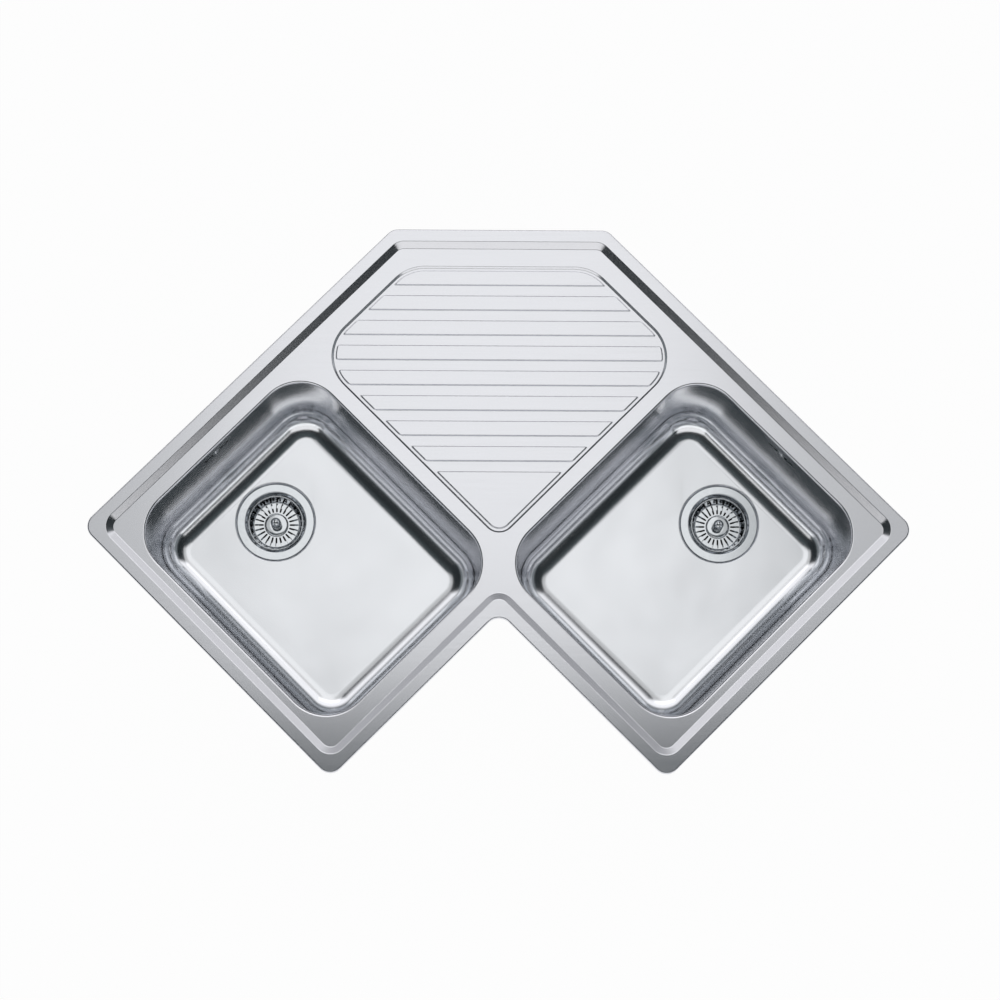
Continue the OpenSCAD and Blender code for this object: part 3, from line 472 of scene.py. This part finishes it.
def cupParts():
    top = floorZ + cup["flangeTop"]
    profile = softProfile([[cup["flange"] - 0.2, top - 1.2], [cup["flange"], top], [cup["mouth"] + cup["slope"], top],
                           [cup["mouth"], top - cup["slopeDeep"]], [cup["foot"], floorZ + cup["base"]],
                           [cup["foot"] - 6, floorZ + cup["base"]]], [0.5, 1.6, 1.2, 3.0], 5, 0.15)
    holes = [drawnIn(circleLine(waste["x"] + cup["drainAt"] * cos(a), waste["y"] + cup["drainAt"] * sin(a), 20),
                     -cup["drainRadius"]) for a in np.arange(cup["drains"]) * (2 * pi / cup["drains"])]
    holes.append(drawnIn(circleLine(waste["x"], waste["y"], 20), -cup["screwRadius"]))
    return [lathe(waste["x"], waste["y"], profile),
            disc(waste["x"], waste["y"], floorZ + cup["base"], cup["foot"] - 6, holes)]


basket = {"rim": 41, "bead": 1.2, "rimZ": -7.2, "foot": 34, "base": -27.7, "hub": 6, "slots": 24, "slotWide": 2.6,
          "slotFrom": 19, "slotTo": 32.5, "wallSlotWide": 3.4, "wallLow": 4.5, "wallHigh": 3.5,
          "dishFrom": 17.8, "dishTo": 14.6, "dishHigh": 1.4}


def slotHalf(s, begin, end, half):
    # half width of a slot with round ends at distance s: sqrt(r^2 - k^2) inside an end, r between them
    k = np.clip(begin + half - s, 0, half) + np.clip(s - (end - half), 0, half)
    return np.sqrt(np.maximum(half ** 2 - k ** 2, 0))


def basketParts():
    # Rows follow the section from the bead down the wall and in along the base. In every sector the
    # columns close in on a slot of the base, or half a sector on, of the wall, so the slots are left out
    # as whole quads.
    n = basket["slots"]
    wallTop = np.array([basket["rim"] - basket["bead"], basket["rimZ"] - basket["bead"]])
    footPoint = np.array([basket["foot"], basket["base"]])
    wallLength = np.linalg.norm(wallTop - footPoint)
    low, high = basket["wallLow"], wallLength - basket["wallHigh"]
    half = basket["wallSlotWide"] / 2
    ends = np.array([0, 0.15, 0.45, 1]) * half
    upS = np.concatenate([[1.6, low - 0.6], low + ends, high - ends[::-1], [high + 0.6, wallLength]])[::-1]
    wallRows = footPoint + (wallTop - footPoint) * (upS / wallLength)[:, None]
    wallHalf = slotHalf(upS, low, high, half)
    half = basket["slotWide"] / 2
    ends = np.array([0, 0.15, 0.45, 1]) * half
    outS = np.concatenate([[basket["foot"] - 1.2], basket["slotTo"] - ends, basket["slotFrom"] + ends[::-1],
                           [basket["slotFrom"] - 0.6], np.linspace(basket["dishFrom"], basket["dishTo"], 7),
                           [9, basket["hub"] - 0.4]])
    dish = np.clip((basket["dishFrom"] - outS) / (basket["dishFrom"] - basket["dishTo"]), 0, 1)
    baseRows = np.stack([outS, basket["base"] + basket["dishHigh"] * (1 - np.cos(pi * dish)) / 2], 1)
    baseHalf = slotHalf(outS, basket["slotFrom"], basket["slotTo"], half)
    beadAngle = np.radians(np.linspace(-15, 180, 10))[:, None]
    bead = wallTop + basket["bead"] * np.concatenate([np.cos(beadAngle), np.sin(beadAngle)], 1)
    rows = np.concatenate([bead, wallRows[1:], [[basket["foot"] - 0.35, basket["base"] + 0.35]], baseRows])
    index, wallEnd = np.arange(len(rows)), len(bead) + len(wallRows) - 1
    wallPart = np.concatenate([np.zeros(len(bead)), wallHalf[1:], [0], np.zeros(len(baseRows))])
    basePart = np.concatenate([np.zeros(wallEnd + 1), baseHalf])
    # where no slot is near, the columns keep a plain spacing
    inWall = (index >= len(bead)) & (index < wallEnd) & (rows[:, 1] > basket["base"] + 1)
    bySlot = ((index > wallEnd) & (rows[:, 0] < basket["slotTo"] + 0.1) & (rows[:, 0] > basket["slotFrom"] - 0.1))
    wallAngle = np.where(inWall, np.arcsin(np.clip(wallPart / rows[:, 0], 0, 1)), radians(2.0))
    baseAngle = np.where(bySlot, np.arcsin(np.clip(basePart / rows[:, 0], 0, 1)), radians(2.2))
    sector = 2 * pi / n
    b, q = baseAngle[:, None], wallAngle[:, None]
    local = np.concatenate([-b, b * 0, b, (b + sector / 2 - q) / 2, sector / 2 - q, sector / 2 + q * 0,
                            sector / 2 + q, (sector / 2 + q + sector - b) / 2], 1)
    angle = (local[None] + (np.arange(n) * sector)[:, None, None]).transpose(0, 2, 1).reshape(-1, len(rows))
    verts = np.stack([waste["x"] + rows[:, 0] * np.cos(angle), waste["y"] + rows[:, 0] * np.sin(angle),
                      np.broadcast_to(floorZ + rows[:, 1], angle.shape)], -1).reshape(-1, 3)
    faces = gridFaces(len(angle), len(rows))
    column, row = np.meshgrid(np.arange(len(angle)), np.arange(len(rows) - 1), indexing="ij")
    column, row = column.ravel() % 8, row.ravel()
    slotRow = (np.maximum(basePart[:-1], basePart[1:]) > 0)[row]
    wallRow = (np.maximum(wallPart[:-1], wallPart[1:]) > 0)[row]
    open_ = (slotRow & (column < 2)) | (wallRow & ((column == 4) | (column == 5)))
    return [(verts, faces[~open_])]


knob = {"ball": 7.5, "middle": -6.5, "neck": 4.2, "neckZ": -9.0, "footAngle": 19.47}


def hubParts():
    # tube round the post, up to the knob
    foot = basket["base"] + basket["dishHigh"]
    profile = softProfile([[basket["hub"] + 1.6, foot], [basket["hub"], foot],
                           [basket["hub"] - 0.6, knob["neckZ"] - 0.6], [knob["neck"], knob["neckZ"]]],
                          [1.2, 0.8], 5, 0.1)
    return [lathe(waste["x"], waste["y"], profile + [0, floorZ], 48)]


def knobParts():
    # ball with a flat foot: radius r * cos(a) at height r * sin(a) above its middle
    a = np.linspace(radians(-knob["footAngle"]), pi / 2 - 0.001, 30)
    ball = np.stack([knob["ball"] * np.cos(a), knob["middle"] + knob["ball"] * np.sin(a)], 1)
    profile = np.concatenate([[[knob["neck"], knob["neckZ"]]], ball])
    return [lathe(waste["x"], waste["y"], profile + [0, floorZ], 64),
            disc(waste["x"], waste["y"], floorZ + ball[-1, 1], ball[-1, 0], (), 64)]


screw = {"radius": 3.6, "high": 1.5, "dome": 0.86, "slotDeep": 0.7, "slotHalf": 0.55, "slotSide": 0.25,
         "slotReach": 0.93, "rings": 22, "around": 64}


def screwParts():
    # Domed head of height high * sqrt(1 - dome * rho^2) at the share rho of its radius, with a straight slot
    # pressed into it, set square on the leaning back wall
    rho = np.linspace(0, 1, screw["rings"])[:, None]
    a = np.linspace(0, 2 * pi, screw["around"], endpoint=False)[None]
    across, up = screw["radius"] * rho * np.cos(a), screw["radius"] * rho * np.sin(a)
    high = screw["high"] * np.sqrt(np.clip(1 - rho ** 2 * screw["dome"], 0, 1)) * np.ones_like(a)
    slotShare = np.clip((screw["slotHalf"] - np.abs(up)) / screw["slotSide"], 0, 1)
    high -= screw["slotDeep"] * slotShare * (rho < screw["slotReach"])
    high[-1] = 0
    out = l - (deckZ - holeZ) * run - high * cos(lean) + up * sin(lean)
    z = holeZ + up * cos(lean) + high * sin(lean)
    p = fromWalls(np.stack([bowlSize["u"] + across.T.ravel(), bowlSize["v"] + out.T.ravel()], 1))
    return [(np.column_stack([p, z.T.ravel()]), gridFaces(screw["around"], screw["rings"]))]


for side, turn in sides:
    makePiece(side + "_cup_sheet", turn(cupParts()), polished, "sink", [side + "_strainer_cup"],
              thick=cup["wall"])
    makePiece(side + "_basket_sheet", turn(basketParts()), polished, side + "_basket", [side + "_basket"],
              thick=0.9)
    makePiece(side + "_basket_hub", turn(hubParts()), polished, side + "_basket", ())
    makePiece(side + "_knob_ball", turn(knobParts()), polished, side + "_basket", [side + "_lift_knob"])
    makePiece(side + "_overflow_head", turn(screwParts()), polished, "sink", [side + "_overflow_screw"])
print("wastes made")


# Hoses, seal and pads

hose = {"out": 216, "top": -35.71, "low": -210.5, "bend": 42, "end": 144, "root": 11.9, "rib": 1.1, "pitch": 4.2,
        "ribs": 42}


def hoseParts():
    # A tube of radius root + rib * (1 - cos) / 2 carried down, round a quarter bend and across. The ring at
    # length s lies square to the route, which has turned by the angle t there.
    down = hose["top"] - hose["low"] - hose["bend"]
    arc = hose["bend"] * pi / 2
    across = hose["out"] - hose["bend"] - hose["end"]
    length = down + arc + across
    begin = (length - hose["ribs"] * hose["pitch"]) / 2
    s = np.concatenate([np.linspace(0, begin, 12)[:-1], begin + np.linspace(0, hose["ribs"] * hose["pitch"],
                        hose["ribs"] * 8 + 1), np.linspace(length - begin, length, 12)[1:]])
    t = np.clip((s - down) / arc, 0, 1) * pi / 2
    phase = (s - begin) / hose["pitch"]
    ribbed = (phase > 0) & (phase < hose["ribs"])
    r = hose["root"] + np.where(ribbed, hose["rib"] * (1 - np.cos(2 * pi * phase)) / 2, 0)
    v = hose["out"] - hose["bend"] * (1 - np.cos(t)) - np.clip(s - down - arc, 0, None)
    z = hose["top"] - np.clip(s, 0, down) - hose["bend"] * np.sin(t)
    a = np.linspace(0, 2 * pi, 40, endpoint=False)[:, None]
    u = r * np.cos(a)
    vv = v + r * np.sin(a) * np.cos(t)
    zz = z + r * np.sin(a) * np.sin(t)
    p = fromWalls(np.stack([bowlSize["u"] + u.ravel(), bowlSize["v"] + vv.ravel()], 1))
    return [(np.column_stack([p, zz.ravel()]), gridFaces(40, len(s))[:, ::-1])]


seal = {"inset": 3, "wide": 9, "high": 6}
sealProfile = softProfile([[seal["inset"] + 4, 0], [seal["inset"], 0], [seal["inset"], seal["high"]],
                           [seal["inset"] + seal["wide"], seal["high"]], [seal["inset"] + seal["wide"], 0],
                           [seal["inset"] + 5, 0]], [1.5, 0.4, 0.4, 1.5], 5, 0.1)
makePiece("seal_strip", [carry(rimLine, sealProfile)], foam, "sink", ["rim_seal"])


pad = {"halfWide": 85, "halfLong": 70.03, "along": -59.87, "corner": 12, "thick": 2.5}


def padParts():
    # pad with rounded corners and a soft edge, on the underside of the floor
    corners = (np.array([[1, -1], [1, 1], [-1, 1], [-1, -1]]) * [pad["halfWide"], pad["halfLong"]]
               + [bowlSize["u"], bowlSize["v"] + pad["along"]])
    line = roundedLine(fromWalls(corners), [pad["corner"]] * 4, 8)
    low = floorZ - sheet - pad["thick"]
    profile = softProfile([[2, floorZ - sheet], [0, floorZ - sheet], [0, low], [6, low]], [0.3, 1.6], 6, 0.2)
    under = atHeight(flatBetween(drawnIn(line, profile[-1, 0])), low)
    over = atHeight(flatBetween(drawnIn(line, profile[0, 0])), floorZ - sheet)
    edge = carry(line, profile)
    return [withFall(q) for q in ((edge[0], edge[1][:, ::-1]), (under[0], under[1][:, ::-1]), over)]


for side, turn in sides:
    makePiece(side + "_hose_ribbed", turn(hoseParts()), hosePlastic, "sink", [side + "_overflow_hose"],
              thick=0.8, sharp=60, even=False)
    makePiece(side + "_pad_cast", turn(padParts()), bitumen, "sink", [side + "_sound_pad"])
print("hoses, seal and pads made")


# Finishes of the other pieces

finishes = {"clip_brackets": zinc, "fixing_clips": zinc, "clip_screws": zinc}
for side in ("left", "right"):
    finishes |= {side + "_flange_gasket": rubber, side + "_body_gasket": rubber, side + "_basket_seal": rubber,
                 side + "_overflow_gasket": rubber, side + "_waste_body": greyPlastic,
                 side + "_overflow_elbow": greyPlastic, side + "_clamp_screw": polished, side + "_clamp_nut": brass,
                 side + "_hose_clips": zinc, side + "_basket_post": polished}
for name, finish in finishes.items():
    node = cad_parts[name]
    node.data.materials.clear()
    node.data.materials.append(finish)


# Floor, light and camera

studio = {"reach": 30.0, "level": -0.286}      # the level is 1 mm below the outlets
floorMesh = bpy.data.meshes.new("studio_floor")
floorMesh.from_pydata([(x * studio["reach"], y * studio["reach"], studio["level"])
                       for x, y in ((-1, -1), (1, -1), (1, 1), (-1, 1))], [], [(0, 1, 2, 3)])
studioFloor = bpy.data.objects.new("studio_floor", floorMesh)
bpy.context.scene.collection.objects.link(studioFloor)
floorFinish = bpy.data.materials.new("white studio floor")
floorFinish.use_nodes = True
tree = floorFinish.node_tree
shader = tree.nodes["Principled BSDF"]
shader.inputs["Base Color"].default_value = linear("#F4F5F6")
shader.inputs["Roughness"].default_value = 0.9
path = addNode(tree, "ShaderNodeLightPath")
seen = addNode(tree, "ShaderNodeMath", {"operation": "MAXIMUM"}, {0: path.outputs["Is Camera Ray"],
                                                                 1: path.outputs["Is Glossy Ray"]})
seen = addNode(tree, "ShaderNodeMath", {"operation": "MAXIMUM"}, {0: seen.outputs[0],
                                                                 1: path.outputs["Is Transmission Ray"]})
share = addNode(tree, "ShaderNodeMath", {"operation": "MULTIPLY", 1: 0.97}, {0: seen.outputs[0]})
glow = addNode(tree, "ShaderNodeEmission", {"Color": (1, 1, 1, 1), "Strength": 1.0})
both = addNode(tree, "ShaderNodeMixShader", {}, {0: share.outputs[0], 1: shader.outputs[0], 2: glow.outputs[0]})
tree.links.new(both.outputs[0], tree.nodes["Material Output"].inputs["Surface"])
floorMesh.materials.append(floorFinish)


def softbox(name, place, target, size, radiance):
    # rectangular lamp whose face shows the given radiance: power = radiance * area * pi
    lamp = bpy.data.lights.new(name, "AREA")
    lamp.shape, lamp.size, lamp.size_y = "RECTANGLE", size[0], size[1]
    lamp.energy = radiance * size[0] * size[1] * pi
    obj = bpy.data.objects.new(name, lamp)
    aim = (Vector(place) - Vector(target)).normalized()
    right = Vector((1, 0, 0)) - aim * aim.x
    right.normalize()
    up = aim.cross(right)
    obj.matrix_world = Matrix.Translation(place) @ Matrix((right, up, aim)).transposed().to_4x4()
    bpy.context.scene.collection.objects.link(obj)


# Overhead light, brighter in its middle, whose front edge is just behind the sink's front corners, so these
# go dark, and two panels in front, the lower one wider
softbox("overhead", (0, 2.1, 4.6), (0, 2.1, 0), (3.8, 3.7), 0.57)
softbox("overhead_middle", (0, 1.16, 4.5), (0, 1.16, 0), (1.6, 2.08), 0.41)
softbox("front_high", (0, -3.2, 3.8), (0, 0, 0), (6.6, 1.4), 0.95)
softbox("front_low", (0, -3.6, 2.5), (0, 0, 0), (9.0, 1.0), 1.0)

# The room by the height of the direction, which is the sine of its angle. In front: pale up to about 20
# degrees, dark drapes with a grey band at 32 degrees, then a near black ceiling. Behind: near black at the
# foot, grey at about 25 degrees and white from 34.
room = {"front": [(0.36, (0.52, 0.54, 0.56)), (0.45, (0.09, 0.11, 0.12)), (0.53, (0.20, 0.22, 0.23)),
                  (0.60, (0.016, 0.02, 0.022)), (0.88, (0.016, 0.02, 0.022)), (0.975, (0.045, 0.056, 0.06))],
        "behind": [(0.30, (0.02, 0.024, 0.026)), (0.56, (0.98, 0.98, 1.0)), (0.42, (0.22, 0.23, 0.24))],
        "behindFrom": 0.45, "behindFull": 0.57,
        "strength": 1.15}
world = bpy.data.worlds.new("studio")
bpy.context.scene.world = world
world.use_nodes = True
tree = world.node_tree
direction = addNode(tree, "ShaderNodeTexCoord").outputs["Generated"]
parts = addNode(tree, "ShaderNodeSeparateXYZ", {}, {0: direction})


def roomRamp(stops):
    ramp = addNode(tree, "ShaderNodeValToRGB", {}, {"Fac": parts.outputs["Z"]})
    for i, (position, tone) in enumerate(stops):
        stop = ramp.color_ramp.elements[i] if i < 2 else ramp.color_ramp.elements.new(position)
        stop.position, stop.color = position, tone + (1,)
    return ramp.outputs["Color"]


behind = addNode(tree, "ShaderNodeMapRange", {"From Min": room["behindFrom"], "From Max": room["behindFull"]},
                 {"Value": parts.outputs["Y"]})
sky = addNode(tree, "ShaderNodeMix", {"data_type": "RGBA"},
              {0: behind.outputs[0], 6: roomRamp(room["front"]), 7: roomRamp(room["behind"])})
tree.links.new(sky.outputs[2], tree.nodes["Background"].inputs["Color"])
tree.nodes["Background"].inputs["Strength"].default_value = room["strength"]

# the camera stands in front of the sink and looks down on it, about 10 degrees from upright
view = {"distance": 4.0, "tilt": 9.93, "sideways": 4.56, "roll": 0.27, "target": (0.0011, -0.0001, 0.007),
        "lens": 102.2}
camera = bpy.data.cameras.new("camera")
camera.lens, camera.sensor_width = view["lens"], 36
cameraObject = bpy.data.objects.new("camera", camera)
target = Vector(view["target"])
tilt, sideways = radians(view["tilt"]), radians(view["sideways"])
back = Vector((-sin(tilt) * sin(sideways), -sin(tilt) * cos(sideways), cos(tilt)))
right = (Vector((1, 0, 0)) - back * back.x).normalized()
right = Matrix.Rotation(radians(view["roll"]), 3, back) @ right
cameraObject.matrix_world = (Matrix.Translation(target + back * view["distance"])
                             @ Matrix((right, back.cross(right), back)).transposed().to_4x4())
bpy.context.scene.collection.objects.link(cameraObject)
bpy.context.scene.camera = cameraObject
bpy.context.scene.view_settings.view_transform = "Standard"
